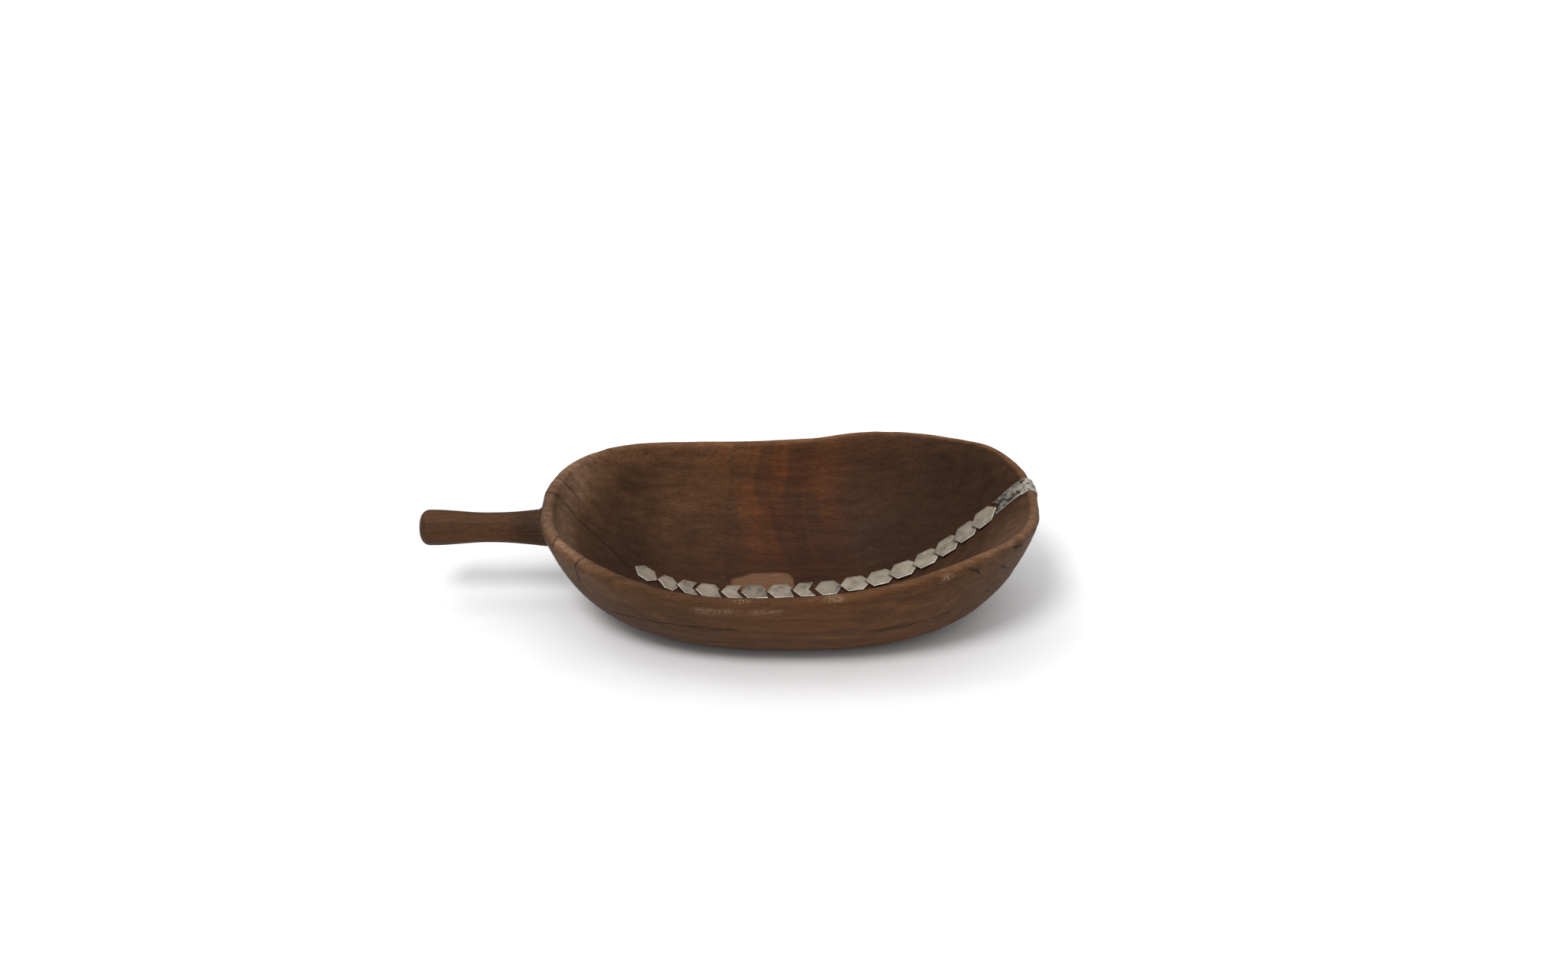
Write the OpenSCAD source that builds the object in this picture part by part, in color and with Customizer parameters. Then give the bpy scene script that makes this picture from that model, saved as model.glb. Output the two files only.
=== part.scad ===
// Oval carved wooden bowl with a round stub handle. One long crack is held shut
// by sixteen hexagonal metal plates and a metal strap folded over the rim.
// Millimetres. +Z up, the handle points to -X, the origin is on the rest face.

/* [Bowl outline] */
// Half length of the rim outline, without the handle
half_length = 172; // [150:0.5:200]
// Half width of the rim outline
half_width = 104; // [85:0.5:125]
// Squareness of the oval: 2 is an ellipse
oval_power = 2.5; // [2:0.05:3]
// Shift of the rim outline towards the handle
outline_shift = -8; // [-15:0.5:5]
// Outline change at the far tip, percent
bulge_far = 5.1; // [-8:0.1:8]
// Outline change at the far back corner, percent
bulge_far_back = 1.3; // [-8:0.1:8]
// Outline change at the back, percent
bulge_back = -3.3; // [-8:0.1:8]
// Outline change at the handle-side back corner, percent
bulge_near_back = -5.8; // [-8:0.1:8]
// Outline change at the handle, percent
bulge_near = -3.8; // [-8:0.1:8]
// Outline change at the handle-side front corner, percent
bulge_near_front = -1.4; // [-8:0.1:8]
// Outline change at the front, percent
bulge_front = 2.8; // [-8:0.1:8]
// Outline change at the far front corner, percent
bulge_far_front = 6; // [-8:0.1:8]

/* [Rim height] */
// Mean height of the rim above the rest face
rim_height = 79; // [65:0.5:95]
// Rim rise at the far tip
rise_far = 4.3; // [-15:0.1:15]
// Rim rise at the far back corner
rise_far_back = 7.7; // [-15:0.1:15]
// Rim rise at the back
rise_back = -4.5; // [-15:0.1:15]
// Rim rise at the handle-side back corner
rise_near_back = 2.4; // [-15:0.1:15]
// Rim rise at the handle
rise_near = 0.5; // [-15:0.1:15]
// Rim rise at the handle-side front corner
rise_near_front = -4; // [-15:0.1:15]
// Rim rise at the front
rise_front = -13.6; // [-15:0.1:15]
// Rim rise at the far front corner
rise_far_front = 6.9; // [-15:0.1:15]
// Depth of the local waves along the back rim
wave_depth = 1.8; // [0:0.1:3]

/* [Wall] */
// Radius of the rounded lip at the far tip
lip_radius = 4.7; // [3.5:0.1:6]
// Extra lip radius at the handle
lip_extra = 1; // [0:0.1:2]
// How far the lip rounding turns, degrees
lip_turn = 145; // [120:1:160]
// Rest face size as a part of the rim outline
foot_scale = 0.41; // [0.3:0.01:0.5]
// Fullness of the outside low down
outer_power = 3; // [2:0.05:3.5]
// Fullness of the outside near the rim
outer_turn = 1.26; // [1:0.02:2]
// Thickness of the bottom
bottom = 5; // [4:0.1:8]
// Fullness of the hollow along the sides and the handle end
hollow_power = 2.8; // [2:0.05:3.5]
// Fullness of the hollow at the far end
hollow_power_far = 3.2; // [2.5:0.05:3.5]
// Turn of the hollow into the lip at the far end: under 1 flares
hollow_turn_far = 0.75; // [0.7:0.01:1.2]

/* [Handle] */
// Length of the handle, from its end to its root in the wall
handle_length = 98; // [80:1:110]
// Distance from the origin to the handle's end
handle_reach = 257; // [240:1:270]
// Height of the handle's axis
handle_height = 58.8; // [50:0.1:62]
// Diameter near the handle's end
handle_end = 25.2; // [20:0.1:30]
// Diameter at the handle's waist
handle_waist = 21.2; // [16:0.1:24]
// Diameter where the handle meets the wall
handle_root = 27; // [22:0.1:30]
// Length of the rounded tip
handle_round = 8; // [4:0.5:11]

/* [Plates] */
// Where the first plate's tip is, along X
chain_start = -108.3; // [-112:0.1:-105]
// Where the crack passes the middle, along Y
chain_offset = 1.2; // [0:0.1:3]
// How far the crack drifts back for each mm of X
chain_drift = 0.085; // [0.05:0.005:0.1]
// Width of the plates at the handle end of the row
plate_width = 16.4; // [14:0.1:18]
// Extra width of each plate after the one before
plate_widen = 0.1; // [0:0.02:0.2]
// Thickness of the plate metal
plate_metal = 1; // [0.8:0.05:1.2]
// Length of the plates' pointed end
plate_point = 5; // [4:0.1:6]
// Depth of the swallow-tail in the notched plates
deep_notch = 4; // [3:0.1:4.5]
// Depth of the slight notch in the blunt plates
slight_notch = 1.4; // [1:0.1:2]
// Gap between a plate's underside and the wood
seat_gap = 0.15; // [0.08:0.01:0.2]
// Width of the tang below each plate, along the crack
tang_width = 5; // [4:0.5:6]
// Thickness of the tang
tang_metal = 1.2; // [1:0.1:1.4]
// Length of the folded bar on the outside, across the crack
bar_length = 17; // [14:0.5:18]
// Width of the folded bar
bar_width = 7; // [6:0.5:8]
// Thickness of the folded bar
bar_metal = 1; // [0.8:0.05:1.2]
// How far the bar lies below the outside surface
bar_sink = 0.15; // [0.1:0.05:0.3]
// Clearance round tangs and bars in the wood
clearance = 0.1; // [0.05:0.01:0.2]

/* [Strap] */
// Where the strap crosses the rim, along Y
strap_offset = 17; // [14:0.5:20]
// Width of the strap
strap_width = 16.5; // [14:0.5:18]
// Thickness of the strap metal
strap_metal = 0.8; // [0.6:0.05:1]
// Reach of the strap's prongs into the hollow, as a part of the hollow's radius
strap_inner = 0.888; // [0.88:0.002:0.9]
// Depth of the strap's swallow-tail, as a part of the hollow's radius
strap_notch = 0.024; // [0.02:0.002:0.028]
// How far down the outside the strap goes
strap_drop = 34; // [20:1:40]
// Height of the strap's tang through the wall
strap_tang = 72; // [70:0.5:74]

/* [Hidden] */

// Distance along X from each plate's tip to the next one's
steps = [15.5, 13.5, 13, 18, 14, 18.5, 18, 15.5, 18, 18, 16.5, 17, 15, 13.5, 12.5];
// Length of each plate
lengths = [18.5, 16.5, 15.2, 17.6, 15.2, 18.2, 17.7, 15.2, 19.6,
           22.3, 22.3, 22.3, 22.3, 22.3, 22.3, 22.3];
// Far end of each plate: 0 pointed under its neighbour, 1 swallow-tail, 2 blunt
ends = [0, 0, 1, 2, 1, 2, 2, 1, 0, 0, 0, 0, 0, 0, 0, 0];

bulges = [bulge_far, bulge_far_back, bulge_back, bulge_near_back,
          bulge_near, bulge_near_front, bulge_front, bulge_far_front];
rises = [rise_far, rise_far_back, rise_back, rise_near_back,
         rise_near, rise_near_front, rise_front, rise_far_front];
// Local waves of the back rim: direction, spread and share of the depth
waves = [[73, 10, 1], [48, 9, -1.1], [93, 12, -0.8], [30, 8, 0.4]];

around_count = 96;
outer_rows = 13;
lip_rows = 7;
inner_rows = 16;
wood = [0.36, 0.24, 0.16];
silver = [0.72, 0.7, 0.66];
pitted = [0.62, 0.61, 0.58];

function unit(v) = v / norm(v);
function spow(v, p) = sign(v) * pow(abs(v), p);
function wrap(d) = d - 360 * floor((d + 180) / 360);
function total(v, i = 0) = i >= len(v) ? 0 : v[i] + total(v, i + 1);

// Smooth closed curve through eight equally spaced values
function kernel(x) = (1 + 2 * cos(x) + 2 * cos(2 * x) + 2 * cos(3 * x) + cos(4 * x)) / 8;
function ring(v, a) = total([for (i = [0 : 7]) v[i] * kernel(a - 45 * i)]);
function wave(a) = total([for (w = waves) w[2] * exp(-pow(wrap(a - w[0]) / w[1], 2))]);

// Rim outline and height in direction a
function grow(a) = 1 + ring(bulges, a) / 100;
function rim_x(a) = outline_shift + half_length * grow(a) * spow(cos(a), 2 / oval_power);
function rim_y(a) = half_width * grow(a) * spow(sin(a), 2 / oval_power);
function rim_z(a) = rim_height + ring(rises, a) + wave_depth * wave(a);
function lip_r(a) = lip_radius + lip_extra * pow(0.5 - 0.5 * cos(a), 2);

// Outside wall: t runs from 0 at the rest face to 1 at the rim
function outer_level(t) = 1 - pow(1 - pow(t, outer_power), 1 / outer_turn);
function outer_limit(a) = pow(1 - pow(lip_r(a) / rim_z(a), outer_turn), 1 / outer_power);
function outer_point(a, t) =
    let (s = foot_scale + (1 - foot_scale) * t)
    [rim_x(a) * s, rim_y(a) * s, rim_z(a) * outer_level(t)];

// Lip: u runs from 0 on the outside to lip_turn on the inside
function lip_way(a) = unit([rim_x(a) - outline_shift, rim_y(a), 0]);
function lip_point(a, u) =
    let (r = lip_r(a))
    outer_point(a, outer_limit(a)) + lip_way(a) * r * (cos(u) - 1) + [0, 0, r * sin(u)];

// Hollow: t runs from 0 at the middle to 1 at the lip
function far_share(a) = pow(max(0, cos(a)), 2);
function inner_level(a, t) =
    let (p = hollow_power + (hollow_power_far - hollow_power) * far_share(a))
    let (q = 1 + (hollow_turn_far - 1) * far_share(a))
    1 - pow(1 - pow(t, p), 1 / q);
function inner_point(a, t) =
    let (f = lip_point(a, lip_turn))
    [outline_shift + (f.x - outline_shift) * t, f.y * t,
     bottom + (f.z - bottom) * inner_level(a, t)];

// Height of the hollow and of the outside above a point of the plan
function inner_way(x, y, low, high, n) =
    let (m = (low + high) / 2)
    let (f = lip_point(m, lip_turn))
    n == 0 ? m :
    wrap(atan2(f.y, f.x - outline_shift) - atan2(y, x - outline_shift)) < 0
        ? inner_way(x, y, m, high, n - 1)
        : inner_way(x, y, low, m, n - 1);
function inner_height(x, y) =
    let (w = atan2(y, x - outline_shift))
    let (a = inner_way(x, y, w - 50, w + 50, 20))
    let (f = lip_point(a, lip_turn))
    let (t = norm([x - outline_shift, y]) / norm([f.x - outline_shift, f.y]))
    inner_point(a, min(1, t)).z;
function outer_way(x, y, low, high, n) =
    let (m = (low + high) / 2)
    n == 0 ? m :
    wrap(atan2(rim_y(m), rim_x(m)) - atan2(y, x)) < 0
        ? outer_way(x, y, m, high, n - 1)
        : outer_way(x, y, low, m, n - 1);
function outer_height(x, y) =
    let (w = atan2(y, x))
    let (a = outer_way(x, y, w - 50, w + 50, 18))
    let (s = norm([x, y]) / norm([rim_x(a), rim_y(a)]))
    s <= foot_scale ? 0 :
    rim_z(a) * outer_level(min(1, (s - foot_scale) / (1 - foot_scale)));

// The crack's path in plan, with a bend at its handle end
function crack_y(x) = chain_offset + chain_drift * x + 0.42 * max(0, -92 - x);
function on_hollow(x) = [x, crack_y(x), inner_height(x, crack_y(x)) + seat_gap];

// Each plate's frame: the tip of its underside, its length, width and normal ways
function tip_x(i) = chain_start + (i == 0 ? 0 : total([for (k = [0 : i - 1]) steps[k]]));
function wide(i) = plate_width + plate_widen * i;
function plate_tip(i) =
    i == 0 || ends[i - 1] != 0 ? on_hollow(tip_x(i)) :
    let (f = plate_frame(i - 1))
    let (u = (tip_x(i) - f[0].x) / f[1].x)
    f[0] + f[1] * u + f[3] * (plate_metal + 0.03);
function plate_end(a, size) =
    let (h = on_hollow(a.x + 0.9 * size).z - a.z)
    on_hollow(a.x + size * 0.9 * size / norm([0.9 * size, h]));
function side_slope(p, e, h) =
    (inner_height(p.x + e.x * h, p.y + e.y * h) - inner_height(p.x - e.x * h, p.y - e.y * h))
    / (2 * h);
function sunk(p) = inner_height(p.x, p.y) + seat_gap - p.z;
function plate_frame(i) =
    let (a = plate_tip(i))
    let (h = wide(i) / 2)
    let (d = unit(plate_end(a, lengths[i]) - a))
    let (flat = unit(cross([0, 0, 1], d)))
    let (c = a + d * lengths[i] / 2)
    let (n = unit(cross(d, flat + [0, 0, side_slope(c, flat, h)])))
    let (e = cross(n, d))
    let (far = lengths[i] - (ends[i] == 0 ? plate_point : 0))
    let (lift = max([for (x = [plate_point, far]) for (y = [-h, h]) sunk(a + d * x + e * y)]))
    [a + [0, 0, max(0, lift)], d, e, n];

// Outline of a plate in its own frame, tip at the origin
function plate_outline(l, w, kind) =
    let (h = w / 2)
    kind == 1 ? [[0, 0], [plate_point, -h], [l, -h], [l - deep_notch, 0], [l, h], [plate_point, h]] :
    kind == 2 ? [[0, 0], [plate_point, -h], [l + 0.4, -h], [l - slight_notch, 0.4],
                 [l, h / 3], [l - 3, h], [plate_point, h]] :
    [[0, 0], [plate_point, -h], [l - plate_point, -h], [l, 0], [l - plate_point, h],
     [plate_point, h]];

// Distance from a plate's underside to the outside surface, along the tang
function wall_depth(p, n, low, high, k) =
    let (m = (low + high) / 2)
    let (q = p - n * m)
    k == 0 ? m :
    q.z > outer_height(q.x, q.y)
        ? wall_depth(p, n, m, high, k - 1)
        : wall_depth(p, n, low, m, k - 1);
function outer_normal(p) =
    let (h = outer_height(p.x, p.y))
    unit([outer_height(p.x + 0.5, p.y) - h, outer_height(p.x, p.y + 0.5) - h, -0.5]);

// Puts things into the frame with origin o and axes x, y, z
module placed(o, x, y, z) {
    multmatrix([[x.x, y.x, z.x, o.x],
                [x.y, y.y, z.y, o.y],
                [x.z, y.z, z.z, o.z]])
        children();
}

// The tang of plate i and the bar folded across the crack outside, grown by g
module fixing(i, g) {
    f = plate_frame(i);
    o = f[0] + f[1] * 0.45 * lengths[i];
    w = wall_depth(o, f[3], 2, 45, 16);
    q = o - f[3] * w;
    n = outer_normal(q);
    y = unit(f[2] - n * (f[2] * n));
    placed(o, f[1], f[2], f[3])
        translate([-tang_width / 2 - g, -tang_metal / 2 - g, 0.7 - w])
            cube([tang_width + 2 * g, tang_metal + 2 * g, w - 0.2]);
    placed(q, cross(y, n), y, n)
        translate([-bar_width / 2 - g, -bar_length / 2 - g, -bar_metal - bar_sink - g])
            cube([bar_width + 2 * g, bar_length + 2 * g, bar_metal + g + (g > 0 ? 4 : 0)]);
}

module plate(i) {
    f = plate_frame(i);
    color(silver) {
        placed(f[0], f[1], f[2], f[3])
            linear_extrude(height = plate_metal)
                polygon(plate_outline(lengths[i], wide(i), ends[i]));
        fixing(i, 0);
    }
}

// Rows of points from the rest face over the lip to the middle of the hollow
function bowl_rows() = concat(
    [for (k = [0 : outer_rows]) [0, k / outer_rows]],
    [for (k = [1 : lip_rows]) [1, k / lip_rows]],
    [for (k = [1 : inner_rows - 1]) [2, 1 - k / inner_rows]]);
function row_point(row, a) =
    row[0] == 0 ? outer_point(a, row[1] * outer_limit(a)) :
    row[0] == 1 ? lip_point(a, row[1] * lip_turn) :
    inner_point(a, row[1]);

module shell() {
    rows = bowl_rows();
    n = around_count;
    m = len(rows);
    points = concat(
        [for (row = rows) for (k = [0 : n - 1]) row_point(row, 360 * k / n)],
        [[outline_shift, 0, bottom]]);
    sides = [for (r = [0 : m - 2]) for (k = [0 : n - 1])
        let (a = r * n + k)
        let (b = r * n + (k + 1) % n)
        each [[a, a + n, b], [b, a + n, b + n]]];
    floor_face = [[for (k = [0 : n - 1]) k]];
    middle = [for (k = [0 : n - 1])
        [(m - 1) * n + k, m * n, (m - 1) * n + (k + 1) % n]];
    polyhedron(points = points, faces = concat(sides, floor_face, middle), convexity = 6);
}

// Handle diameter at distance x from its end
function bend(x, a, b) = let (u = min(1, max(0, (x - a) / (b - a)))) u * u * (3 - 2 * u);
function grip(x) =
    handle_end + (handle_waist - handle_end) * bend(x, 10, 0.5 * handle_length)
    + (handle_root - handle_waist) * bend(x, 0.55 * handle_length, handle_length);
function tip(x) =
    x >= handle_round ? 1 : pow(1 - pow(1 - x / handle_round, 2.4), 1 / 2.4);

module handle() {
    stations = [0, 0.2, 0.7, 1.6, 3, 5, 8, 14, 22, 32, 42, 52, 62, 72, 82, 90, handle_length];
    for (k = [0 : len(stations) - 2])
        hull()
            for (x = [stations[k], stations[k + 1]])
                translate([x - handle_reach, 0, handle_height])
                    rotate([0, 90, 0])
                        cylinder(d = max(10, grip(x) * tip(x)), h = 0.02, $fn = 40);
}

module bowl() {
    color(wood)
        difference() {
            union() {
                shell();
                handle();
            }
            for (i = [0 : 15])
                fixing(i, clearance);
            strap_tang_bar(clearance);
        }
}

// Direction in which the rim has the wanted Y, near the far tip
function rim_way(y, low, high, k) =
    let (m = (low + high) / 2)
    k == 0 ? m : rim_y(m) < y ? rim_way(y, m, high, k - 1) : rim_way(y, low, m, k - 1);

// Stations along the strap: up the hollow, over the lip and down the outside
function strap_start(c) = strap_inner + strap_notch * (1 - abs(c));
function strap_point(a, c, k) =
    k <= 8 ? inner_point(a, strap_start(c) + (1 - strap_start(c)) * k / 8) :
    k <= 18 ? lip_point(a, lip_turn * (18 - k) / 10) :
    let (z = outer_point(a, outer_limit(a)).z - strap_drop * (k - 18) / 8)
    let (h = 1 - z / rim_z(a))
    outer_point(a, pow(1 - pow(h, outer_turn), 1 / outer_power));
function strap_face(a, c, k, lift) =
    let (p = strap_point(a, c, k))
    let (v = strap_point(a, c, min(26, k + 1)) - strap_point(a, c, max(0, k - 1)))
    let (w = lip_way(a))
    let (n = unit([-v.z * w.x, -v.z * w.y, v * w]))
    p + n * lift;

// The flat tang that ties the strap's two arms together through the wall
module strap_tang_bar(g) {
    a = rim_way(strap_offset, -20, 40, 20);
    out = outer_point(a, pow(1 - pow(1 - strap_tang / rim_z(a), outer_turn), 1 / outer_power));
    into = inner_point(a, 0.925);
    reach = norm([out.x - into.x, out.y - into.y]);
    w = lip_way(a);
    placed([out.x, out.y, strap_tang], w, cross([0, 0, 1], w), [0, 0, 1])
        translate([-reach - 1 - 3 * g, -4 - g, -0.6 - g])
            cube([reach + 1.4 + 12 * g, 8 + 2 * g, 1.2 + 2 * g]);
}

module rim_strap() {
    across = [-1, -0.5, 0, 0.5, 1];
    ways = [for (c = across) rim_way(strap_offset + c * strap_width / 2, -20, 40, 20)];
    last = 26;
    points = [for (side = [0, 1]) for (k = [0 : last]) for (j = [0 : 4])
        strap_face(ways[j], across[j], k, seat_gap + (1 - side) * strap_metal)];
    top = 5 * (last + 1);
    skins = [for (k = [0 : last - 1]) for (j = [0 : 3])
        let (a = 5 * k + j)
        each [[a, a + 1, a + 5], [a + 1, a + 6, a + 5],
              [top + a, top + a + 5, top + a + 1], [top + a + 1, top + a + 5, top + a + 6]]];
    rims = [for (k = [0 : last - 1])
        let (a = 5 * k)
        let (b = 5 * k + 4)
        each [[a, a + 5, top + a], [a + 5, top + a + 5, top + a],
              [b, top + b, b + 5], [b + 5, top + b, top + b + 5]]];
    tips = [for (j = [0 : 3])
        let (b = 5 * last + j)
        each [[j, top + j, j + 1], [j + 1, top + j, top + j + 1],
              [b, b + 1, top + b], [b + 1, top + b + 1, top + b]]];
    color(pitted) {
        polyhedron(points = points, faces = concat(skins, rims, tips), convexity = 6);
        strap_tang_bar(0);
    }
}

bowl();
plate(0);  // plate_01
plate(1);  // plate_02
plate(2);  // plate_03
plate(3);  // plate_04
plate(4);  // plate_05
plate(5);  // plate_06
plate(6);  // plate_07
plate(7);  // plate_08
plate(8);  // plate_09
plate(9);  // plate_10
plate(10);  // plate_11
plate(11);  // plate_12
plate(12);  // plate_13
plate(13);  // plate_14
plate(14);  // plate_15
plate(15);  // plate_16
rim_strap();
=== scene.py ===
import math
from functools import reduce
from types import SimpleNamespace

import bpy
import numpy as np
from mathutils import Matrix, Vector
from mathutils.bvhtree import BVHTree
from mathutils.kdtree import KDTree

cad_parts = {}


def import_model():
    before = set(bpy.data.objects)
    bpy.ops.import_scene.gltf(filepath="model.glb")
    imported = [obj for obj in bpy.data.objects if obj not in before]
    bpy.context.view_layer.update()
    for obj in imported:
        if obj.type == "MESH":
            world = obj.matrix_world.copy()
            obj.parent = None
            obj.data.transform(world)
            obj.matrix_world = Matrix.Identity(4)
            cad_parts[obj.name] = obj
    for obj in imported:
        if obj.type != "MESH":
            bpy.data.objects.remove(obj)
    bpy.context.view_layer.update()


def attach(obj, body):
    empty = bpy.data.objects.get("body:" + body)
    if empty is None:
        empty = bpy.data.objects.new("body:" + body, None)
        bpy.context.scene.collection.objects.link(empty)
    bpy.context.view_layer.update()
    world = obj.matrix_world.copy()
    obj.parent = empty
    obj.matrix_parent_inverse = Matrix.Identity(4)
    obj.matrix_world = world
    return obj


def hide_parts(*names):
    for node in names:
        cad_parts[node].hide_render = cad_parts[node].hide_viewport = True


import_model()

MM = 0.001

# ---- dimensions
# The CAD model's dimensions, in millimetres and degrees.
HALF_LENGTH, HALF_WIDTH, OVAL_POWER, OUTLINE_SHIFT = 172, 104, 2.5, -8
BULGES = (5.1, 1.3, -3.3, -5.8, -3.8, -1.4, 2.8, 6.0)
RIM_HEIGHT = 79
RISES = (4.3, 7.7, -4.5, 2.4, 0.5, -4.0, -13.6, 6.9)
WAVES = ((73, 10, 1.0), (48, 9, -1.1), (93, 12, -0.8), (30, 8, 0.4))
WAVE_DEPTH = 1.8
LIP_RADIUS, LIP_EXTRA, LIP_TURN = 4.7, 1.0, 145
FOOT_SCALE, OUTER_POWER, OUTER_TURN = 0.41, 3.0, 1.26
BOTTOM, HOLLOW_POWER, HOLLOW_FAR, HOLLOW_TURN = 5.0, 2.8, 3.2, 0.75
HANDLE_LENGTH, HANDLE_REACH, HANDLE_HEIGHT = 98, 257, 58.8
HANDLE_END, HANDLE_WAIST, HANDLE_ROOT, HANDLE_ROUND = 25.2, 21.2, 27.0, 8.0
CHAIN_START, CHAIN_OFFSET, CHAIN_DRIFT = -108.3, 1.2, 0.085
STEPS = (15.5, 13.5, 13, 18, 14, 18.5, 18, 15.5, 18, 18, 16.5, 17, 15, 13.5, 12.5)
LENGTHS = (18.5, 16.5, 15.2, 17.6, 15.2, 18.2, 17.7, 15.2, 19.6) + (22.3,) * 7
ENDS = (0, 0, 1, 2, 1, 2, 2, 1, 0, 0, 0, 0, 0, 0, 0, 0)
PLATE_WIDTH, PLATE_WIDEN, PLATE_METAL, PLATE_POINT = 16.4, 0.1, 1.0, 5.0
DEEP_NOTCH, SLIGHT_NOTCH, SEAT_GAP = 4.0, 1.4, 0.15
TANG_WIDTH, TANG_METAL = 5.0, 1.2
BAR_LENGTH, BAR_WIDTH, BAR_METAL, BAR_SINK = 17.0, 7.0, 1.0, 0.15
CLEARANCE = 0.1
STRAP_OFFSET, STRAP_WIDTH, STRAP_METAL = 17.0, 16.5, 0.8
STRAP_INNER, STRAP_NOTCH, STRAP_DROP, STRAP_TANG = 0.888, 0.024, 34.0, 72.0


# ---- the CAD's surfaces
def unit(v):
    v = np.asarray(v, float)
    return v / np.maximum(np.linalg.norm(v, axis=-1, keepdims=True), 1e-12)


def cosd(a):
    return np.cos(np.radians(a))


def sind(a):
    return np.sin(np.radians(a))


def spow(v, p):
    return np.sign(v) * np.abs(v) ** p


def wrap(d):
    return d - 360 * np.floor((d + 180) / 360)


def kernel(x):
    return (1 + 2 * cosd(x) + 2 * cosd(2 * x) + 2 * cosd(3 * x) + cosd(4 * x)) / 8


def ring(values, a):
    return sum(v * kernel(a - 45 * i) for i, v in enumerate(values))


def rim_x(a):
    return OUTLINE_SHIFT + HALF_LENGTH * (1 + ring(BULGES, a) / 100) * spow(cosd(a), 2 / OVAL_POWER)


def rim_y(a):
    return HALF_WIDTH * (1 + ring(BULGES, a) / 100) * spow(sind(a), 2 / OVAL_POWER)


def rim_z(a):
    waves = sum(w[2] * np.exp(-(wrap(a - w[0]) / w[1]) ** 2) for w in WAVES)
    return RIM_HEIGHT + ring(RISES, a) + WAVE_DEPTH * waves


def lip_r(a):
    return LIP_RADIUS + LIP_EXTRA * (0.5 - 0.5 * cosd(a)) ** 2


def outer_level(t):
    return 1 - (1 - np.abs(t) ** OUTER_POWER) ** (1 / OUTER_TURN)


def outer_share(height_share):
    """The t at which the outside has this share of the rim's height."""
    return (1 - (1 - height_share) ** OUTER_TURN) ** (1 / OUTER_POWER)


def outer_limit(a):
    return (1 - (lip_r(a) / rim_z(a)) ** OUTER_TURN) ** (1 / OUTER_POWER)


def outer_point(a, t):
    s = FOOT_SCALE + (1 - FOOT_SCALE) * t
    return np.stack([rim_x(a) * s, rim_y(a) * s, rim_z(a) * outer_level(t)], -1)


def lip_way(a):
    return unit(np.stack([rim_x(a) - OUTLINE_SHIFT, rim_y(a), 0 * a], -1))


def lip_point(a, u):
    r = lip_r(a)
    start = outer_point(a, outer_limit(a))
    up = np.stack([0 * r, 0 * r, r * sind(u)], -1)
    return start + lip_way(a) * (r * (cosd(u) - 1))[..., None] + up


def inner_level(a, t):
    far = np.maximum(0, cosd(a)) ** 2
    p = HOLLOW_POWER + (HOLLOW_FAR - HOLLOW_POWER) * far
    q = 1 + (HOLLOW_TURN - 1) * far
    return 1 - (1 - np.minimum(1, t) ** p) ** (1 / q)


def inner_point(a, t):
    f = lip_point(a, LIP_TURN)
    return np.stack([OUTLINE_SHIFT + (f[..., 0] - OUTLINE_SHIFT) * t, f[..., 1] * t,
                     BOTTOM + (f[..., 2] - BOTTOM) * inner_level(a, t)], -1)


def bisect(test, low, high, count=26):
    """The place where test turns from true to false, for numbers or arrays."""
    for _ in range(count):
        middle = (low + high) / 2
        yes = test(middle)
        low, high = np.where(yes, middle, low), np.where(yes, high, middle)
    return (low + high) / 2


def inner_height(x, y):
    x, y = np.asarray(x, float), np.asarray(y, float)
    way = np.degrees(np.arctan2(y, x - OUTLINE_SHIFT))

    def before(a):
        f = lip_point(a, LIP_TURN)
        return wrap(np.degrees(np.arctan2(f[..., 1], f[..., 0] - OUTLINE_SHIFT)) - way) < 0

    a = bisect(before, way - 50, way + 50)
    f = lip_point(a, LIP_TURN)
    t = np.hypot(x - OUTLINE_SHIFT, y) / np.hypot(f[..., 0] - OUTLINE_SHIFT, f[..., 1])
    return inner_point(a, np.minimum(1, t))[..., 2]


def outer_height(x, y):
    x, y = np.asarray(x, float), np.asarray(y, float)
    way = np.degrees(np.arctan2(y, x))
    a = bisect(lambda m: wrap(np.degrees(np.arctan2(rim_y(m), rim_x(m))) - way) < 0,
               way - 50, way + 50)
    s = np.hypot(x, y) / np.hypot(rim_x(a), rim_y(a))
    t = np.clip((s - FOOT_SCALE) / (1 - FOOT_SCALE), 0, 1)
    return rim_z(a) * outer_level(t)


def near_wall_x(y, z):
    """X of the outside wall at the handle end, for points in the Y-Z plane."""
    def short(a):
        t = outer_share(np.minimum(z / rim_z(a), 0.98))
        return rim_y(a) * (FOOT_SCALE + (1 - FOOT_SCALE) * t) > y

    a = bisect(short, 0 * y + 130.0, 0 * y + 230.0)
    t = outer_share(np.minimum(z / rim_z(a), 0.98))
    return rim_x(a) * (FOOT_SCALE + (1 - FOOT_SCALE) * t)


def crack_y(x):
    return CHAIN_OFFSET + CHAIN_DRIFT * x + 0.42 * np.maximum(0, -92 - x)


# ---- shared tools
rng = np.random.default_rng(7)


class Ripple:
    """Smooth noise made of sine waves, about -1 to 1, for points in mm."""

    def __init__(self, size, stretch=(1, 1, 1), count=18):
        ways = unit(rng.normal(size=(count, 3)))
        pitch = size * rng.uniform(0.6, 1.6, count)
        self.waves = ways * (2 * math.pi / pitch)[:, None] / np.asarray(stretch, float)
        self.phases = rng.uniform(0, 2 * math.pi, count)

    def __call__(self, points):
        total = np.sin(points @ self.waves.T + self.phases).sum(-1)
        return np.clip(total / math.sqrt(len(self.phases)) * 0.9, -1, 1)


def smooth(low, high, v):
    u = np.clip((v - low) / (high - low), 0, 1)
    return u * u * (3 - 2 * u)


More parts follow.
